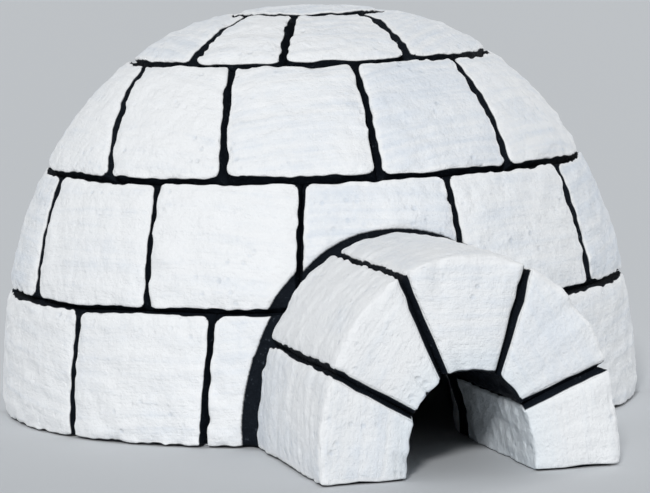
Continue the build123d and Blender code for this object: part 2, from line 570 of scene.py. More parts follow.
class Block:
    """A block of snow in its own space: across from left to right, up, and deep from its face inwards.

    A subclass gives the block's spans and says where a point of that space lies in the house.

    Attributes:
        spans: Lengths of the block across, up and deep.
        gapes: How wide its left and right joints stand open, as shares of the groove.
        layering: Axes along which the snow's layers run level, rise and run level again.
        most_tilt: Degrees that the layers tilt at most.
        most_offset: How far the grain is set off at most.
        indoor_depths: Distances from the inner face between which indoors ends.
    """

    spans: Triple
    gapes: Pair = (1.0, 1.0)
    layering: tuple[Axis, Axis, Axis] = (Axis.ACROSS, Axis.UP, Axis.DEEP)
    most_tilt: float = 6.0
    most_offset: float = 20.0
    indoor_depths: Range = (0.004, 0.045)

    def __init__(self, name: str, slot: str, beddings: dict[Side, Bedding], cut: Cut) -> None:
        """Keeps what the block is.

        Args:
            name: Name of the node that the block replaces.
            slot: Material slot that its finish is taken from.
            beddings: What each side meets.
            cut: How the block was cut.
        """
        self.name = name
        self.slot = slot
        self.beddings = beddings
        self.cut = cut
        self.seed = zlib.crc32(name.encode())

    def place(self, across: Array, up: Array, deep: Array) -> Array:
        """Where points of the block's space lie in the house.

        Args:
            across: Distances from the left side.
            up: Distances from the lower or front side.
            deep: Distances from the outer face.

        Returns:
            One row of X, Y and Z for each point.
        """
        raise NotImplementedError

    def stretched(self, distance: Array, span: float, real: Array) -> Array:
        """Distance along a span that is really another length: true at its ends, in scale between."""
        kept = 2.0 * self.cut.edge_radius
        share = np.clip((distance - kept) / (span - 2.0 * kept), 0.0, 1.0)
        return distance + (real - span) * share

    def _lines(self, axis: Axis) -> Array:
        """Places of the mesh's lines along an axis: even over the faces, wider apart deep in the joints."""
        span = self.spans[axis.value]
        radius = self.cut.edge_radius
        rounded = radius * (1.0 - np.tan(np.radians(self.cut.edge_turns)))
        growth = self.cut.depth_growth if axis is Axis.DEEP else 1.0
        steps = [self.cut.spacing]
        while sum(steps) < span - 2.0 * radius:
            steps.append(steps[-1] * growth)
        flat = np.concatenate([[0.0], np.cumsum(steps)])
        flat = radius + flat * (span - 2.0 * radius) / flat[-1]
        return np.concatenate([rounded, flat, span - rounded[::-1]])

    def _lattice(self) -> tuple[Array, Array]:
        """Points and faces of a box with the block's spans.

        Returns:
            Points, one row each, and faces, four point numbers each.
        """
        lines = [self._lines(axis) for axis in Axis]
        counts = [len(line) for line in lines]
        steps = np.stack(np.meshgrid(*[np.arange(count) for count in counts], indexing="ij"), axis=-1)
        ends = np.array(counts) - 1
        shell = ((steps == 0) | (steps == ends)).any(axis=-1)
        numbers = np.full(counts, -1)
        numbers[shell] = np.arange(shell.sum())
        places = steps[shell]
        points = np.stack([lines[axis.value][places[:, axis.value]] for axis in Axis], axis=1)
        faces = []
        for axis, far in product(Axis, (False, True)):
            sheet = np.take(numbers, ends[axis.value] if far else 0, axis=axis.value)
            corners = (sheet[:-1, :-1], sheet[1:, :-1], sheet[1:, 1:], sheet[:-1, 1:])
            quads = np.stack(corners, axis=-1).reshape(-1, 4)
            turned = far != (axis is Axis.UP)
            faces.append(quads if turned else quads[:, ::-1])
        return points, np.concatenate(faces)

    def _distance(self, points: Array, side: Side) -> Array:
        """Distance of points from a side."""
        axis, far = side
        value = points[:, axis.value]
        return self.spans[axis.value] - value if far else value

    def _sides(self, bedding: Bedding) -> Iterator[Side]:
        """Sides with a bedding."""
        return (side for side, found in self.beddings.items() if found is bedding)

    def _rounded_edges(self, points: Array) -> tuple[Array, Array]:
        """Box points with all edges rounded.

        Args:
            points: Points on the box.

        Returns:
            The moved points, and the direction out of the block at each.
        """
        radius = self.cut.edge_radius
        heart = np.clip(points, radius, np.array(self.spans) - radius)
        outward = points - heart
        outward /= np.linalg.norm(outward, axis=1)[:, None]
        return heart + outward * radius, outward

    def _recess(self, points: Array) -> Array:
        """Depth of points below the nearest open side. Past its rim, an underside counts as open too."""
        # the finish paints near-black shade where this depth is more than a few millimetres
        depth = np.min([self._distance(points, side) for side in self._sides(Bedding.OPEN)], axis=0)
        return self._undersides_bared(points, depth)

    def _undersides_bared(self, points: Array, depth: Array) -> Array:
        """Depths of points, with no depth left on an underside past its rim."""
        for side in self._sides(Bedding.GROUND):
            # an underside is painted with shade only along this rim, by the ground
            beneath = self._distance(points, side) < self.cut.edge_radius
            bared = np.maximum(self.cut.foot_shade - depth, 0.0)
            depth = np.where(beneath, np.minimum(depth, bared), depth)
        return depth

    def _rim(self, points: Array) -> Array:
        """Distance of points from the nearest edge of the side that they lie on."""
        distances = np.stack([self._distance(points, side) for side in self.beddings], axis=1)
        return np.sort(distances, axis=1)[:, 1]

    def _beside(self, placed: Array) -> Array:
        """Distance of places from a block that butts on the outer face, below 0 behind it."""
        return np.full(len(placed), NOTHING_NEAR)

    def _flattened(self, placed: Array) -> Array:
        """Places in the house as true distances from the block's middle, along its own axes."""
        middle = np.array(self.spans) / 2.0
        ends = middle + SMALL_STEP * np.array([[0.0, 0.0, 0.0], [1.0, 0.0, 0.0], [0.0, 1.0, 0.0]])
        centre, right, top = self.place(*ends.T)
        across = (right - centre) / np.linalg.norm(right - centre)
        up = (top - centre) - across * ((top - centre) @ across)
        up /= np.linalg.norm(up)
        return (placed - centre) @ np.stack([across, up, np.cross(across, up)], axis=1)

    def _groove(self, points: Array, placed: Array) -> Array:
        """How far a joint stands back at points: wide near the open sides, none where the blocks bear."""
        cut = self.cut
        widest = np.zeros(len(points))
        for side in self._sides(Bedding.OPEN):
            width = cut.inner_groove if side == (Axis.DEEP, True) else cut.groove
            share = 1.0 - eased(cut.groove_depth, cut.seat_depth, self._distance(points, side))
            widest = np.maximum(widest, width * share)
        change = Undulation(cut.groove_change_length, GROOVE_SEED).at(placed)
        return widest * np.clip(1.0 + cut.groove_change * change, *cut.groove_limits)

    def _round_corners(self, points: Array, groove: Array) -> None:
        """Rounds the four corners of the face, seen square on, in place."""
        radius = self.cut.corner_radius
        faded = np.clip(groove / self.cut.groove, 0.0, 1.0)
        share = faded if self.cut.corner_fades else np.ones(len(points))
        for far_across, far_up in product((False, True), repeat=2):
            sides = ((Axis.ACROSS, far_across), (Axis.UP, far_up))
            if any(self.beddings[side] is Bedding.GROUND for side in sides):
                continue
            reach = radius - np.stack([self._distance(points, side) for side in sides], axis=1)
            near = (reach > 0.0).all(axis=1)
            size = np.linalg.norm(reach[near], axis=1)
            pull = (1.0 - reach[near].max(axis=1) / size)[:, None] * reach[near] * share[near, None]
            for column, (axis, far) in enumerate(sides):
                points[near, axis.value] += -pull[:, column] if far else pull[:, column]

    def _wear(self, points: Array, outward: Array, flat: Array) -> None:
        """Wears the edges round the open sides and knocks chips out of them, in place."""
        cut = self.cut
        random = np.random.default_rng(self.seed + Choice.CHIPS)
        loss = np.zeros(len(points))
        change = Undulation(cut.wear_length, self.seed + Choice.WEAR).at(flat)
        worn = np.clip(cut.wear_mean + cut.wear_spread * change, 0.0, cut.wear_most)
        reach = 2.0 * (cut.wear_reach * cut.edge_radius) ** 2
        for side, other in product(self._sides(Bedding.OPEN), self.beddings):
            if side == (Axis.DEEP, True) or other[0] is side[0]:
                continue
            below, beside = self._distance(points, side), self._distance(points, other)
            loss = np.maximum(loss, cut.wear * worn * np.exp(-(below**2 + beside**2) / reach))
            along = next(axis for axis in Axis if axis not in (side[0], other[0]))
            for _ in range(random.poisson(cut.chips_per_metre * self.spans[along.value])):
                size, depth = random.uniform(*cut.chip_size), random.uniform(*cut.chip_depth)
                place = random.uniform(0.0, self.spans[along.value])
                away = (points[:, along.value] - place) ** 2 + below**2 + beside**2
                share = np.clip(cut.chip_flank * (1.0 - away / size**2), 0.0, 1.0)
                loss = np.maximum(loss, depth * share)
        points -= outward * loss[:, None]

    def _uneven(self, points: Array, flat: Array) -> None:
        """Shifts the open faces inwards unevenly, as a hand cut leaves them, in place."""
        cut = self.cut
        random = np.random.default_rng(self.seed + Choice.LEAN)
        rough = Undulation(cut.unevenness_length, self.seed + Choice.UNEVENNESS).at(flat)
        fine = Undulation(cut.grain_length, self.seed + Choice.GRAIN).at(flat)
        for axis, far in list(self._sides(Bedding.OPEN)):
            others = [other for other in Axis if other is not axis]
            edge = np.min([self._distance(points, side) for side in product(others, (False, True))], axis=0)
            swell = cut.swell * (1.0 - eased(0.0, cut.swell_reach, edge)) ** 2
            lean = sum(
                random.uniform(-1.0, 1.0) * (2.0 * points[:, other.value] / self.spans[other.value] - 1.0)
                for other in others
            )
            scoops = KnifeFacets(cut.facet_width, self.seed + Choice.FACETS)
            facets = scoops.at(*(flat[:, other.value] for other in others))
            shift = swell + cut.lean * (1.0 + cut.lean_change * lean)
            shift += cut.unevenness * (cut.sinking + rough) + cut.grain * (cut.sinking + fine)
            shift += cut.facet * facets
            fade = (1.0 - self._distance(points, (axis, far)) / self.spans[axis.value]) ** 2
            points[:, axis.value] += np.where(far, -1.0, 1.0) * np.clip(shift, 0.0, None) * fade

    def _let_in(self, points: Array, beside: Array) -> None:
        """Cuts a chase round a block that butts on the outer face, in place."""
        deep = points[:, Axis.DEEP.value]
        band = eased(*self.cut.chase_starts, beside) * (1.0 - eased(*self.cut.chase_ends, beside))
        deep += self.cut.chase * band * (1.0 - deep / self.spans[Axis.DEEP.value]) ** 2

    def _open_grooves(self, points: Array, groove: Array) -> None:
        """Draws the joint sides back by the groove, in place."""
        foot = self.cut.foot_gap / self.cut.groove
        widths = {Bedding.OPEN: 0.0, Bedding.JOINT: 1.0, Bedding.GROUND: foot}
        for axis, gapes in ((Axis.ACROSS, self.gapes), (Axis.UP, (1.0, 1.0))):
            share = points[:, axis.value] / self.spans[axis.value]
            low, high = (widths[self.beddings[(axis, end)]] * gapes[end] for end in (False, True))
            points[:, axis.value] += groove * (low * (1.0 - share) - high * share)

    def _wandering(self, points: Array, inward: Array) -> Array:
        """Places in the house, with the joints wandering a little along the surface.

        Args:
            points: Places in the house.
            inward: Places a little further into the block.

        Returns:
            The moved places. Neighbouring blocks move alike where they meet.
        """
        into = inward - points
        into /= np.linalg.norm(into, axis=1)[:, None]
        waves = [Undulation(self.cut.wander_length, seed).at(points) for seed in WANDER_SEEDS]
        drift = np.stack(waves, axis=1)
        drift *= self.cut.wander / math.sqrt(len(WANDER_SEEDS))
        drift -= into * (drift * into).sum(axis=1)[:, None]
        drift[:, 2] *= eased(0.0, self.cut.level_height, points[:, 2])
        return points + drift

    def mesh(self) -> bpy.types.Mesh:
        """Builds the block.

        Returns:
            A closed mesh that keeps at each point what the finish goes by: its depth below the nearest open
            side and its distance from a block that butts on the face, by which shade is painted in the joints
            and the seam, its distance from the nearest edge, whether it is indoors, the block's tone and the
            place that its grain is taken from.
        """
        points, faces = self._lattice()
        points, outward = self._rounded_edges(points)
        placed = self.place(*points.T)
        flat = self._flattened(placed)
        groove = self._groove(points, placed)
        beside = self._beside(placed)
        below_face = self._distance(points, (Axis.DEEP, False))
        from_indoors = self._distance(points, (Axis.DEEP, True))
        kept = {
            "recess": self._recess(points),
            "rim": self._rim(points),
            "beside": np.where(below_face < from_indoors, beside, NOTHING_NEAR),
            "indoors": 1.0 - eased(*self.indoor_depths, from_indoors),
            "tone": self._tone(len(points)),
            "cut": self._grain(flat),
        }
        self._round_corners(points, groove)
        self._wear(points, outward, flat)
        self._uneven(points, flat)
        self._let_in(points, beside)
        self._open_grooves(points, groove)
        further = self.place(points[:, 0], points[:, 1], points[:, 2] + SMALL_STEP)
        placed = self._wandering(self.place(*points.T), further)
        placed = np.clip(placed, np.array(cad_box[0]), np.array(cad_box[1]))
        return build_mesh(self.name, placed, faces, kept)

    def _tone(self, count: int) -> Array:
        """The block's own tone, from -1 to 1, once for each point."""
        return np.full(count, np.random.default_rng(self.seed + Choice.TONE).uniform(-1.0, 1.0))

    def _grain(self, flat: Array) -> Array:
        """Places as the finish sees them, a little tilted and set off, so that no two blocks match."""
        random = np.random.default_rng(self.seed + Choice.LAYERS)
        turn = math.radians(random.uniform(-self.most_tilt, self.most_tilt))
        across, up, out = (flat[:, axis.value] for axis in self.layering)
        along = across * math.cos(turn) - up * math.sin(turn)
        risen = across * math.sin(turn) + up * math.cos(turn)
        return np.stack([along, risen, out], axis=1) + random.uniform(-self.most_offset, self.most_offset, 3)


def build_mesh(name: str, points: Array, faces: Array, numbers: dict[str, Array]) -> bpy.types.Mesh:
    """Makes a smooth mesh.

    Args:
        name: Name of the mesh.
        points: One row each.
        faces: Four point numbers each.
        numbers: Named numbers to keep at the points.

    Returns:
        The mesh, with its faces turned outwards.
    """
    corners = points[faces]
    volume = np.einsum("ij,ij->i", corners[:, 0], np.cross(corners[:, 1], corners[:, 2])).sum()
    volume += np.einsum("ij,ij->i", corners[:, 0], np.cross(corners[:, 2], corners[:, 3])).sum()
    if volume < 0.0:
        faces = faces[:, ::-1]
    made = bpy.data.meshes.new(name)
    made.from_pydata(points.tolist(), [], faces.tolist())
    for key, values in numbers.items():
        if values.ndim == 1:
            made.attributes.new(key, "FLOAT", "POINT").data.foreach_set("value", values.astype(np.float32))
        else:
            kept = made.attributes.new(key, "FLOAT_VECTOR", "POINT")
            kept.data.foreach_set("vector", values.astype(np.float32).ravel())
    made.shade_smooth()
    return made


def course_sides(on_ground: bool) -> dict[Side, Bedding]:
    """What the sides of a block in a course meet."""
    return {
        (Axis.ACROSS, False): Bedding.JOINT,
        (Axis.ACROSS, True): Bedding.JOINT,
        (Axis.UP, False): Bedding.GROUND if on_ground else Bedding.JOINT,
        (Axis.UP, True): Bedding.JOINT,
        (Axis.DEEP, False): Bedding.OPEN,
        (Axis.DEEP, True): Bedding.OPEN,
    }


def round_the_room(radius: Array, azimuth: Array, height: Array) -> Array:
    """Places in the house for radii, azimuths in radians and heights of the room."""
    return np.stack([radius * np.sin(azimuth), House.shift - radius * np.cos(azimuth), height], axis=1)


class CourseBlock(Block):
    """Block of a course, between two upright joints.

    Attributes:
        seam_at_foot: How much wider the seam round the entrance, cut in and painted dark as shade, is at its
            foot than at its crown.
        grooves: Groove of each course, from the lowest up.
    """

    seam_at_foot: float = 0.06
    grooves: tuple[float, ...] = (0.017, 0.017, 0.018, 0.022)

    def __init__(
        self,
        name: str,
        section: Section,
        left: JointPlane,
        right: JointPlane,
        level: int,
        vault: VaultShape,
    ) -> None:
        """Works out the spans.

        Args:
            name: Name of the node.
            section: Slice through the course.
            left: Joint on the left, seen from outside.
            right: Joint on the right.
            level: Number of the course, from 0 on the ground.
            vault: Shape of the entrance, which butts on the courses.
        """
        super().__init__(name, "dome_snow", course_sides(level == 0), Cut(groove=self.grooves[level]))
        self.vault = vault
        self.section = section
        self.left = left
        self.right = right
        self.gapes = (left.gape, right.gape)
        radius, height = section.at(0.5, 0.0)
        width = radius * (right.azimuth(radius, height) - left.azimuth(radius, height))
        outer, inner = section.at(0.5, 0.0), section.at(0.5, 1.0)
        self.spans = (float(width), section.outer.length, math.dist(outer, inner))

    def place(self, across: Array, up: Array, deep: Array) -> Array:
        """See Block.place."""
        radius, height = self.section.at(up / self.spans[1], deep / self.spans[2])
        first, last = self.ends(radius, height)
        real = self.stretched(across, self.spans[0], radius * (last - first))
        return round_the_room(radius, first + real / radius, height)

    def ends(self, radius: Array, height: Array) -> tuple[Array, Array]:
        """Azimuths of the left and the right side at radii and heights."""
        return self.left.azimuth(radius, height), self.right.azimuth(radius, height)

    def _beside(self, placed: Array) -> Array:
        """See Block._beside."""
        # the seam round the vault is painted dark with shade where this distance is small
        in_front = placed[:, 1] < House.shift
        widened = self.seam_at_foot * (1.0 - eased(0.0, self.vault.height, placed[:, 2]))
        return np.where(in_front, self.vault.beside(placed[:, 0], placed[:, 2]) - widened, NOTHING_NEAR)


class JambBlock(CourseBlock):
    """Block of the lowest course beside the doorway, cut back to the passage on one side."""

    def __init__(
        self, name: str, section: Section, joint: JointPlane, side: int, vault: VaultShape
    ) -> None:
        """Works out the spans.

        Args:
            name: Name of the node.
            section: Slice through the lowest course.
            joint: Joint on the side away from the passage.
            side: -1 for the left jamb, 1 for the right one.
            vault: Shape of the entrance.
        """
        super().__init__(name, section, joint, joint, 0, vault)
        self.side = side
        self.beddings[(Axis.ACROSS, side < 0)] = Bedding.OPEN
        radius, height = section.at(np.array([0.5]), np.array([0.0]))
        first, last = self.ends(radius, height)
        self.spans = (float(radius[0] * (last - first)[0]), *self.spans[1:])

    def ends(self, radius: Array, height: Array) -> tuple[Array, Array]:
        """See CourseBlock.ends."""
        top = self.section.outer.at(1.0)[1]
        risen = eased(self.vault.passage_height, top, height)
        lintel = mix(LintelBlock.half_foot, LintelBlock.half_head, risen)
        beside = np.maximum(self.vault.passage_x(height), lintel)
        passage = self.side * np.arcsin(beside / radius)
        joint = self.left.azimuth(radius, height)
        return (joint, passage) if self.side < 0 else (passage, joint)


class LintelBlock(Block):
    """Block over the doorway, between the jambs.

    Attributes:
        half_foot: Half its width at its foot.
        half_head: Half its width at its head.
    """

    half_foot: float = 0.12
    half_head: float = 0.19

    def __init__(self, name: str, room: RoomShape, vault: VaultShape) -> None:
        """Works out the spans.

        Args:
            name: Name of the node.
            room: Shape of the room.
            vault: Shape of the entrance.
        """
        beddings = course_sides(False)
        beddings[(Axis.UP, False)] = Bedding.OPEN
        super().__init__(name, "dome_snow", beddings, Cut(edge_radius=0.02, corner_radius=0.02))
        self.section = room.course(0)
        self.vault = vault
        self.top = room.course_heights[0]
        self.spans = (2.0 * self.half_head, self.top - vault.passage_height, room.wall_at_ground)

    def place(self, across: Array, up: Array, deep: Array) -> Array:
        """See Block.place."""
        risen = up / self.spans[1]
        offset = (2.0 * across / self.spans[0] - 1.0) * mix(self.half_foot, self.half_head, risen)
        share = mix(self.vault.passage_height / self.top, 1.0, risen)
        radius, height = self.section.at(share, deep / self.spans[2])
        lowered = mix(self.vault.passage_height - self.vault.passage_z(offset), 0.0, risen)
        return np.stack([offset, House.shift - np.sqrt(radius**2 - offset**2), height - lowered], axis=1)


class KeyBlock(Block):
    """Round bevelled plug that closes the crown, lightly domed."""

    def __init__(self, name: str, room: RoomShape) -> None:
        """Works out the spans.

        Args:
            name: Name of the node.
            room: Shape of the room.
        """
        cut = Cut(corner_radius=room.key_radius, corner_fades=False, groove=0.026)
        super().__init__(name, "dome_snow", course_sides(False), cut)
        self.room = room
        self.spans = (2.0 * room.key_radius, 2.0 * room.key_radius, room.wall_at_key)
        self.outer_rim = room.outside_bed(room.top_level)
        self.inner_rim = room.inside_bed(room.top_level)

    @staticmethod
    def _cap(apex: float, rim: Point, offset: Array) -> Array:
        """Height of a cap that is level at its apex and ends at its rim."""
        fall = apex - rim[1]
        radius = (rim[0] ** 2 + fall**2) / (2.0 * fall)
        return apex - radius + np.sqrt(radius**2 - offset**2)

    def place(self, across: Array, up: Array, deep: Array) -> Array:
        """See Block.place."""
        share = deep / self.spans[2]
        east, north = across - self.room.key_radius, up - self.room.key_radius
        narrowed = mix(1.0, self.inner_rim[0] / self.outer_rim[0], share)
        east, north = east * narrowed, north * narrowed
        offset = np.hypot(east, north)
        apex_inside = self.room.rise - self.room.wall_at_key
        outer = self._cap(self.room.rise, self.outer_rim, np.minimum(offset / narrowed, self.outer_rim[0]))
        inner = self._cap(apex_inside, self.inner_rim, np.minimum(offset, self.inner_rim[0]))
        return np.stack([east, House.shift + north, mix(outer, inner, share)], axis=1)


class VoussoirBlock(Block):
    """One of the long blocks of the entrance. Up runs from its front back to the dome.

    Attributes:
        settled: How far it reaches into the true outside of the dome, which is worn back there.
    """

    layering: tuple[Axis, Axis, Axis] = (Axis.ACROSS, Axis.DEEP, Axis.UP)
    settled: float = 0.004

    def __init__(self, name: str, room: RoomShape, vault: VaultShape, index: int) -> None:
        """Works out the spans.

        Args:
            name: Name of the node.
            room: Shape of the room.
            vault: Shape of the entrance.
            index: Which voussoir, from 0 at the left foot to the last at the right one.
        """
        beddings = {
            (Axis.ACROSS, False): Bedding.GROUND if index == 0 else Bedding.JOINT,
            (Axis.ACROSS, True): Bedding.GROUND if index == vault.last_voussoir else Bedding.JOINT,
            (Axis.UP, False): Bedding.OPEN,
            (Axis.UP, True): Bedding.JOINT,
            (Axis.DEEP, False): Bedding.OPEN,
            (Axis.DEEP, True): Bedding.OPEN,
        }
        cut = Cut(corner_radius=0.03, swell=0.006, lean=0.003, groove_depth=0.022, seat_depth=0.055)
        super().__init__(name, "entrance_snow", beddings, cut)
        self.roofs_passage = 0 < index < vault.last_voussoir
        self.room = room
        self.vault = vault
        self.section = vault.voussoir(index)
        outer, inner = self.section.at(0.5, 0.0), self.section.at(0.5, 1.0)
        reach = vault.front_distance - room.base_radius
        self.spans = (self.section.outer.length, reach, math.dist(outer, inner))

    def _recess(self, points: Array) -> Array:
        """See Block._recess. The passage's ceiling counts as in the dark."""
        outer, front = (Axis.DEEP, False), (Axis.UP, False)
        # the passage's ceiling is not counted as open, so it is painted near black with the joints' shade
        lit = [outer, front] if self.roofs_passage else self._sides(Bedding.OPEN)
        depth = np.min([self._distance(points, side) for side in lit], axis=0)
        return self._undersides_bared(points, depth)

    def place(self, across: Array, up: Array, deep: Array) -> Array:
        """See Block.place."""
        share = deep / self.spans[2]
        real = self.section.length(share)
        along = self.stretched(across, self.spans[0], real) / real
        offset, height = self.section.at(along, share)
        radius = self.room.outside_radius(height) - self.settled
        back = np.sqrt(np.maximum(radius**2 - offset**2, 0.0))
        forward = self.stretched(up, self.spans[1], self.vault.front_distance - back)
        return np.stack([offset, House.shift - self.vault.front_distance + forward, height], axis=1)


@dataclass(frozen=True)
class WideJoint:
    """Upright joint that stands wider open than the others of its course.

    Attributes:
        level: Number of the course, from 0 on the ground.
        number: Which joint of the course, as in the list of azimuths.
        gape: How wide it stands open, as a share of the course's groove.
    """

    level: int
    number: int
    gape: float


@dataclass(frozen=True)
class House:
    """The whole snow house, course by course.

    Attributes:
        room: Shape of the room.
        vault: Shape of the entrance.
        shift: How far the room's axis lies behind the middle of the house.
        joint_azimuths: Azimuths in degrees of each upright joint's foot and head, for each course from the
            lowest up, starting at the left side.
        wide_joints: The joints that stand wider open.
        full_turn: Degrees from a joint right round to it again.
        door_index: Which block of the lowest course has the doorway in its place.
    """

    room: RoomShape = RoomShape()
    vault: VaultShape = VaultShape()
    shift: float = (VaultShape.front_distance - RoomShape.base_radius) / 2.0
    joint_azimuths: tuple[tuple[Joint, ...], ...] = (
        (
            (-100, -100), (-63, -62), (-35, -33), (34, 33), (71, 71),
            (105, 106), (138, 137), (184, 184), (221, 223),
        ),
        (
            (-117, -116), (-77, -81), (-46, -48), (-18, -17), (13, 13), (45, 47),
            (84, 84), (118, 117), (148, 150), (174, 173), (205, 206),
        ),
        (
            (-100, -103), (-62, -79), (-33, -39), (-1, -1), (30, 35),
            (71, 75), (104, 106), (139, 135), (183, 180), (222, 225),
        ),
        (
            (-118, -120), (-56, -66), (-23, -26), (19, 31), (88, 85), (148, 151), (200, 197),
        ),
    )
    wide_joints: tuple[WideJoint, ...] = (
        WideJoint(1, 1, 2.2),
        WideJoint(1, 5, 1.45),
        WideJoint(2, 1, 1.35),
        WideJoint(2, 4, 1.25),
        WideJoint(3, 1, 1.35),
        WideJoint(3, 3, 1.3),
    )
    full_turn: float = 360.0
    door_index: int = 2

    def planes(self, level: int) -> list[JointPlane]:
        """Planes of the upright joints of a course, right round to the first one again."""
        foot, head = self.room.outside_bed(level), self.room.outside_bed(level + 1)
        joints = self.joint_azimuths[level]
        again = (joints[0][0] + self.full_turn, joints[0][1] + self.full_turn)
        gapes = {wide.number: wide.gape for wide in self.wide_joints if wide.level == level}
        numbered = enumerate((*joints, again))
        return [JointPlane(foot, head, joint, gapes.get(number, 1.0)) for number, joint in numbered]

    def course(self, level: int) -> Iterator[Block]:
        """Plain blocks of a course, from the left side of the house."""
        planes = self.planes(level)
        section = self.room.course(level)
        number = 1
        for index, (left, right) in enumerate(zip(planes, planes[1:])):
            if level == 0 and index == self.door_index:
                continue
            name = f"course_{level + 1}_block_{number:02d}"
            yield CourseBlock(name, section, left, right, level, self.vault)
            number += 1

    def doorway(self) -> Iterator[Block]:
        """Jambs and lintel of the doorway."""
        planes = self.planes(0)
        section = self.room.course(0)
        left, right = planes[self.door_index : self.door_index + 2]
        yield JambBlock("door_jamb_left", section, left, -1, self.vault)
        yield JambBlock("door_jamb_right", section, right, 1, self.vault)
        yield LintelBlock("door_lintel", self.room, self.vault)

    def entrance(self) -> Iterator[Block]:
        """The five voussoirs of the entrance, from the left foot to the right one."""
        for index, name in enumerate(("foot_left", "haunch_left", "crown", "haunch_right", "foot_right")):
            yield VoussoirBlock(f"entrance_{name}", self.room, self.vault, index)

    def blocks(self) -> Iterator[Block]:
        """Every block of the house."""
        for level in range(self.room.top_level):
            yield from self.course(level)
        yield KeyBlock("key_block", self.room)
        yield from self.doorway()
        yield from self.entrance()


class Channel:
    """A number that varies over a surface, wrapped so that sums are written as sums."""

    def __init__(self, shader: "Shader", socket: bpy.types.NodeSocket) -> None:
        """Wraps an output socket of a shader's node."""
        self.shader = shader
        self.socket = socket

    def _math(self, operation: str, first: "Channel | float", second: "Channel | float") -> "Channel":
        """Result of a Math node on two numbers."""
        return self.shader.channel("ShaderNodeMath", {"operation": operation}, {0: first, 1: second})

    def __add__(self, other: "Channel | float") -> "Channel":
        """Sum."""
        return self._math("ADD", self, other)

    def __radd__(self, other: float) -> "Channel":
        """Sum with a plain number first."""
        return self._math("ADD", other, self)

    def __sub__(self, other: "Channel | float") -> "Channel":
        """Difference."""
        return self._math("SUBTRACT", self, other)

    def __rsub__(self, other: float) -> "Channel":
        """Difference from a plain number."""
        return self._math("SUBTRACT", other, self)

    def __mul__(self, other: "Channel | float") -> "Channel":
        """Product."""
        return self._math("MULTIPLY", self, other)

    def __rmul__(self, other: float) -> "Channel":
        """Product with a plain number first."""
        return self._math("MULTIPLY", other, self)

    def larger(self, other: "Channel") -> "Channel":
        """Larger of two numbers."""
        return self._math("MAXIMUM", self, other)

    def eased(self, low: float, high: float) -> "Channel":
        """Smooth step from 0 at low to 1 at high."""
        settings = {"interpolation_type": "SMOOTHSTEP"}
        inputs = {"Value": self, "From Min": low, "From Max": high}
        return self.shader.channel("ShaderNodeMapRange", settings, inputs)


class Shader:
    """Node tree of one material."""

    def __init__(self, name: str) -> None:
        """Starts an empty material with a name."""
        self.material = bpy.data.materials.new(name)
        self.material.use_nodes = True
        self.tree = self.material.node_tree
        self.tree.nodes.clear()

    def node(
        self, kind: str, settings: dict[str, object], inputs: dict[str | int, object]
    ) -> bpy.types.Node:
        """Adds a node.

        Args:
            kind: Type of the node.
            settings: Its own properties, set before its sockets.
            inputs: Values, channels or sockets for its inputs, by name or number.

        Returns:
            The node.
        """
        made = self.tree.nodes.new(kind)
        for key, value in settings.items():
            setattr(made, key, value)
        shown = {socket.name: socket for socket in reversed(list(made.inputs)) if socket.enabled}
        for key, value in inputs.items():
            socket = made.inputs[key] if isinstance(key, int) else shown[key]
            if isinstance(value, Channel):
                self.tree.links.new(value.socket, socket)
            elif isinstance(value, bpy.types.NodeSocket):
                self.tree.links.new(value, socket)
            else:
                socket.default_value = value
        return made

    def channel(self, kind: str, settings: dict[str, object], inputs: dict[str | int, object]) -> Channel:
        """Number from a new node's first shown output; the arguments are those of node."""
        made = self.node(kind, settings, inputs)
        return Channel(self, next(socket for socket in made.outputs if socket.enabled))

    def attribute(self, name: str) -> Channel:
        """Number kept at the points of the mesh."""
        return Channel(self, self.node("ShaderNodeAttribute", {"attribute_name": name}, {}).outputs["Fac"])

    def place(self, size: float | Triple) -> bpy.types.NodeSocket:
        """Place in the block's grain, as counts of a size: the same all ways, or one for each axis."""
        sizes = size if isinstance(size, tuple) else (size, size, size)
        kept = self.node("ShaderNodeAttribute", {"attribute_name": "cut"}, {}).outputs["Vector"]
        made = self.node("ShaderNodeVectorMath", {"operation": "DIVIDE"}, {0: kept, 1: sizes})
        return made.outputs["Vector"]

    def noise(self, grain: "Grain") -> Channel:
        """Soft noise from -1 to 1."""
        inputs = {
            "Vector": self.place(grain.size),
            "Scale": 1.0,
            "Detail": grain.detail,
            "Roughness": grain.roughness,
        }
        return self.channel("ShaderNodeTexNoise", {}, inputs) * 2.0 - 1.0

    def pits(self, size: float, flank: Range) -> Channel:
        """Small round hollows, one to a cell of a size: 1 in their middle, 0 outside their flank."""
        inputs = {"Vector": self.place(size), "Scale": 1.0, "Randomness": 1.0}
        return 1.0 - self.channel("ShaderNodeTexVoronoi", {}, inputs).eased(*flank)

    def blend(self, first: object, second: object, share: Channel | float) -> bpy.types.NodeSocket:
        """Mix of two colours, each a socket or three numbers."""
        colours = [(*colour, 1.0) if isinstance(colour, tuple) else colour for colour in (first, second)]
        inputs = {"Factor": share, "A": colours[0], "B": colours[1]}
        made = self.node("ShaderNodeMix", {"data_type": "RGBA"}, inputs)
        return next(socket for socket in made.outputs if socket.enabled)


@dataclass(frozen=True)
class Grain:
    """Soft noise of one size in the snow.

    Attributes:
        size: Size of its features, the same all ways or one for each axis.
        detail: How many times finer noise is laid over it.
        roughness: How strong the finer noise is.
        age: How much it ages the snow's colour.
        relief: Height that it gives the surface.
    """

    size: float | Triple
    detail: float
    roughness: float = 0.5
    age: float = 0.0
    relief: float = 0.0


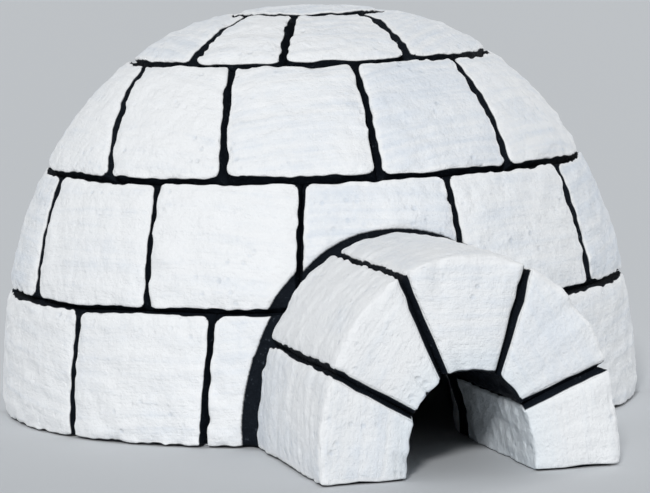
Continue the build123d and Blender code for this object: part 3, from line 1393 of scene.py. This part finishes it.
@dataclass(frozen=True)
class SnowFinish:
    """Wind-packed snow cut with a long knife: granular, faintly layered, with shade painted in the joints,
    glazed indoors.

    Attributes:
        name: Name of the material.
        slot: Material slot that it is for.
        fresh: Colour of the youngest snow.
        packed: Colour of the oldest.
        glaze: Colour indoors, where warmth has glazed it.
        glazed: How far the glaze covers the snow's own colour.
        joint: Near black, painted as the shade deep in a joint.
        shaded_dust: Colour of loose snow lying in a joint, painted dark with the joint's shade.
        shaded_dust_mottle: How much the mottle decides where it lies.
        shaded_dust_range: Where it sets in and where it covers.
        joint_shade_depths: Depths between which the painted shade of a joint sets in.
        joint_shade_crumbs: How much the crumbs roughen that border.
        seam_shade_range: Distances from a butting block between which the shade painted along the seam ends.
        seam_shade_crumbs: How much the crumbs roughen that border.
        clouds, layers, scratches, mottle, crumbs: Noise from coarse to fine.
        patches: Noise that decides where pits come in numbers.
        patch_range: Where they set in and where they are all there.
        pit_size: Distance between pits.
        pit_flank: Where a pit's flank starts and ends, as shares of that.
        pit_depth: Depth of a pit.
        pit_shade: How much darker a pit is painted, as the shade in its hollow.
        tone_age: How much the block's own tone ages it.
        edge_age: How much an edge freshens it.
        edge_reach: Distances from an edge between which that fades.
        edge_crumbs: How much the crumbs roughen that border.
        age_range: Ages of the freshest and the oldest snow.
        roughness: How matt the snow is.
        crumb_roughness: How much the crumbs change that.
        glaze_smoothness: How much less matt the glaze is.
        refraction: Refraction of ice.
        gloss: How strongly the snow reflects.
    """

    name: str
    slot: str
    fresh: Colour = (0.93, 0.94, 0.95)
    packed: Colour = (0.76, 0.81, 0.875)
    glaze: Colour = (0.84, 0.91, 0.96)
    glazed: float = 0.7
    # painted shade, near black, deep in the joints, on the passage's ceiling, on an underside's rim and along
    # the seam round the entrance
    joint: Colour = (0.007, 0.010, 0.015)
    # loose snow in the joints, painted dark with their shade
    shaded_dust: Colour = (0.07, 0.085, 0.105)
    shaded_dust_mottle: float = 0.6
    shaded_dust_range: Range = (0.2, 0.7)
    joint_shade_depths: Range = (0.006, 0.016)
    joint_shade_crumbs: float = 0.0018
    seam_shade_range: Range = (0.014, 0.024)
    seam_shade_crumbs: float = 0.005
    clouds: Grain = Grain(0.5, 2.0, age=0.8)
    layers: Grain = Grain((1.3, 0.05, 1.3), 3.0, age=1.0, relief=0.0024)
    scratches: Grain = Grain((0.16, 0.016, 0.16), 3.0, 0.6, relief=0.0018)
    mottle: Grain = Grain(0.07, 4.0, 0.6, age=0.5, relief=0.0050)
    crumbs: Grain = Grain(0.024, 4.0, 0.65, age=0.3, relief=0.0042)
    patches: Grain = Grain(0.3, 1.0)
    patch_range: Range = (-0.1, 0.3)
    pit_size: float = 0.075
    pit_flank: Range = (0.05, 0.32)
    pit_depth: float = 0.006
    pit_shade: float = 0.6
    tone_age: float = 0.4
    edge_age: float = 0.8
    edge_reach: Range = (0.004, 0.045)
    edge_crumbs: float = 0.014
    age_range: Range = (-0.6, 1.2)
    roughness: float = 0.74
    crumb_roughness: float = 0.12
    glaze_smoothness: float = 0.25
    refraction: float = 1.31
    gloss: float = 0.2

    def material(self) -> bpy.types.Material:
        """Builds the material."""
        shader = Shader(self.name)
        recess = shader.attribute("recess")
        rim = shader.attribute("rim")
        beside = shader.attribute("beside")
        tone = shader.attribute("tone")
        indoors = shader.attribute("indoors")
        clouds = shader.noise(self.clouds)
        layers = shader.noise(self.layers)
        scratches = shader.noise(self.scratches)
        mottle = shader.noise(self.mottle)
        crumbs = shader.noise(self.crumbs)
        patches = shader.noise(self.patches).eased(*self.patch_range)
        pits = shader.pits(self.pit_size, self.pit_flank) * patches

        edge = 1.0 - (rim + crumbs * self.edge_crumbs).eased(*self.edge_reach)
        age = clouds * self.clouds.age + layers * self.layers.age
        age = age + mottle * self.mottle.age + crumbs * self.crumbs.age
        # pits are painted darker, as the shade in their hollows
        age = age + tone * self.tone_age - edge * self.edge_age + pits * self.pit_shade
        surface = shader.blend(self.fresh, self.packed, age.eased(*self.age_range))
        surface = shader.blend(surface, self.glaze, indoors * self.glazed)

        # painted shade: near black deep in the joints and along the seam round the entrance, mottled with
        # darkened loose snow
        painted_joint_shade = (recess + crumbs * self.joint_shade_crumbs).eased(*self.joint_shade_depths)
        painted_seam_shade = 1.0 - (beside + crumbs * self.seam_shade_crumbs).eased(*self.seam_shade_range)
        shaded_dust_share = (mottle * self.shaded_dust_mottle + crumbs).eased(*self.shaded_dust_range)
        surface = shader.blend(surface, shader.blend(self.joint, self.shaded_dust, shaded_dust_share), painted_joint_shade.larger(painted_seam_shade))

        height = layers * self.layers.relief + scratches * self.scratches.relief
        height = height + mottle * self.mottle.relief + crumbs * self.crumbs.relief - pits * self.pit_depth
        bump = shader.node("ShaderNodeBump", {}, {"Strength": 1.0, "Distance": 1.0, "Height": height})
        matt = self.roughness + crumbs * self.crumb_roughness - indoors * self.glaze_smoothness
        skin = shader.node(
            "ShaderNodeBsdfPrincipled",
            {},
            {
                "Base Color": surface,
                "Roughness": matt,
                "IOR": self.refraction,
                "Specular IOR Level": self.gloss,
                "Normal": bump.outputs["Normal"],
            },
        )
        shader.node("ShaderNodeOutputMaterial", {}, {"Surface": skin.outputs["BSDF"]})
        return shader.material


@dataclass(frozen=True)
class Viewpoint:
    """The camera, at the drawing's viewing angle.

    Attributes:
        position: Where it stands.
        pan: Azimuth that it looks along, from straight along +Y towards +X.
        tilt: How far it looks up.
        roll: How far its picture is turned.
        focal_length: Focal length, in pixels of a picture of the frame's width.
        frame_width: Width of that picture, in pixels.
        sensor_width: Width of the sensor, in millimetres.
        farthest: Distance up to which it sees.
    """

    position: Triple = (-5.376, -20.035, 3.090)
    pan: float = math.radians(14.753)
    tilt: float = math.radians(-5.699)
    roll: float = math.radians(1.728)
    focal_length: float = 3421.86
    frame_width: float = 650.0
    sensor_width: float = 36.0
    farthest: float = 500.0

    def build(self) -> bpy.types.Object:
        """Makes the camera and looks through it."""
        ahead = math.cos(self.tilt)
        forward = Vector((math.sin(self.pan) * ahead, math.cos(self.pan) * ahead, math.sin(self.tilt)))
        level = forward.cross(Vector((0.0, 0.0, 1.0))).normalized()
        upright = level.cross(forward)
        right = level * math.cos(self.roll) - upright * math.sin(self.roll)
        up = level * math.sin(self.roll) + upright * math.cos(self.roll)
        data = bpy.data.cameras.new("camera")
        data.sensor_width = self.sensor_width
        data.lens = self.focal_length * self.sensor_width / self.frame_width
        data.clip_end = self.farthest
        made = bpy.data.objects.new("camera", data)
        turned = Matrix((right, up, -forward)).transposed().to_4x4()
        made.matrix_world = Matrix.Translation(self.position) @ turned
        bpy.context.scene.collection.objects.link(made)
        bpy.context.scene.camera = made
        return made


@dataclass(frozen=True)
class Lamp:
    """Far-off lamp.

    Attributes:
        name: Its name.
        bearing: Azimuth that it shines from, in degrees.
        elevation: How high it stands, in degrees.
        strength: Light that it sheds on a surface square to it.
        softness: Angle that it fills, in degrees.
    """

    name: str
    bearing: float
    elevation: float
    strength: float
    softness: float

    def build(self) -> bpy.types.Object:
        """Hangs the lamp."""
        data = bpy.data.lights.new(self.name, "SUN")
        data.energy = self.strength
        data.angle = math.radians(self.softness)
        made = bpy.data.objects.new(self.name, data)
        bearing, elevation = math.radians(self.bearing), math.radians(self.elevation)
        level = math.cos(elevation)
        towards = Vector((math.sin(bearing) * level, -math.cos(bearing) * level, math.sin(elevation)))
        made.rotation_mode = "QUATERNION"
        made.rotation_quaternion = towards.to_track_quat("Z", "Y")
        bpy.context.scene.collection.objects.link(made)
        return made


@dataclass(frozen=True)
class Studio:
    """Plain pale floor under plain soft light.

    Attributes:
        floor_radius: How far the floor reaches.
        floor_sides: How many sides its outline has.
        floor_colour: Its colour.
        floor_roughness: How matt it is.
        lamps: The lamps.
        sky_strength: Strength of the even light from all round.
        sky_colour: Colour of that light.
    """

    floor_radius: float = 220.0
    floor_sides: int = 64
    floor_colour: Colour = (0.63, 0.65, 0.67)
    floor_roughness: float = 0.9
    lamps: tuple[Lamp, ...] = (
        Lamp("key", -23.0, 30.0, 1.84, 8.0),
        Lamp("right_fill", 119.0, 14.0, 1.0, 20.0),
        Lamp("back_fill", -150.0, 20.0, 0.52, 40.0),
    )
    sky_strength: float = 0.38
    sky_colour: Colour = (0.93, 0.965, 1.0)

    def floor(self) -> bpy.types.Object:
        """Lays the floor."""
        shader = Shader("floor")
        inputs = {"Base Color": (*self.floor_colour, 1.0), "Roughness": self.floor_roughness}
        skin = shader.node("ShaderNodeBsdfPrincipled", {}, inputs)
        shader.node("ShaderNodeOutputMaterial", {}, {"Surface": skin.outputs["BSDF"]})
        turns = [math.tau * step / self.floor_sides for step in range(self.floor_sides)]
        radius = self.floor_radius
        rim = [(radius * math.cos(turn), radius * math.sin(turn), 0.0) for turn in turns]
        data = bpy.data.meshes.new("floor")
        data.from_pydata(rim, [], [list(range(self.floor_sides))])
        data.materials.append(shader.material)
        made = bpy.data.objects.new("floor", data)
        bpy.context.scene.collection.objects.link(made)
        return made

    def sky(self) -> bpy.types.World:
        """Sets the even light from all round."""
        world = bpy.data.worlds.new("sky")
        world.use_nodes = True
        background = world.node_tree.nodes["Background"]
        background.inputs["Color"].default_value = (*self.sky_colour, 1.0)
        background.inputs["Strength"].default_value = self.sky_strength
        bpy.context.scene.world = world
        return world

    def build(self) -> None:
        """Sets everything up."""
        self.floor()
        for lamp in self.lamps:
            lamp.build()
        self.sky()
        bpy.context.scene.view_settings.view_transform = "Standard"


def dress(block: Block, finishes: dict[str, bpy.types.Material]) -> bpy.types.Object:
    """Builds a block and puts it in its node's place.

    Args:
        block: The block.
        finishes: Material of each slot.

    Returns:
        The new piece.
    """
    data = block.mesh()
    data.materials.append(finishes[block.slot])
    piece = bpy.data.objects.new(f"snow_{block.name}", data)
    bpy.context.scene.collection.objects.link(piece)
    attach(piece, "root")
    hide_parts(block.name)
    return piece


def main() -> None:
    """Builds the house, the studio and the camera, and reports each piece."""
    logging.basicConfig(level=logging.INFO, format="%(message)s")
    Viewpoint().build()
    Studio().build()
    finishes = [SnowFinish("dome_snow", "dome_snow"), SnowFinish("entrance_snow", "entrance_snow")]
    materials = {finish.slot: finish.material() for finish in finishes}
    blocks = list(House().blocks())
    for block in blocks:
        piece = dress(block, materials)
        log.info("%s: %d faces", piece.name, len(piece.data.polygons))
    log.info("%d blocks for the %d nodes of the packed model", len(blocks), len(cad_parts))


def write_sizes() -> None:
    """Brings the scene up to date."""
    bpy.context.view_layer.update()


if __name__ == "__main__":
    main()
    write_sizes()
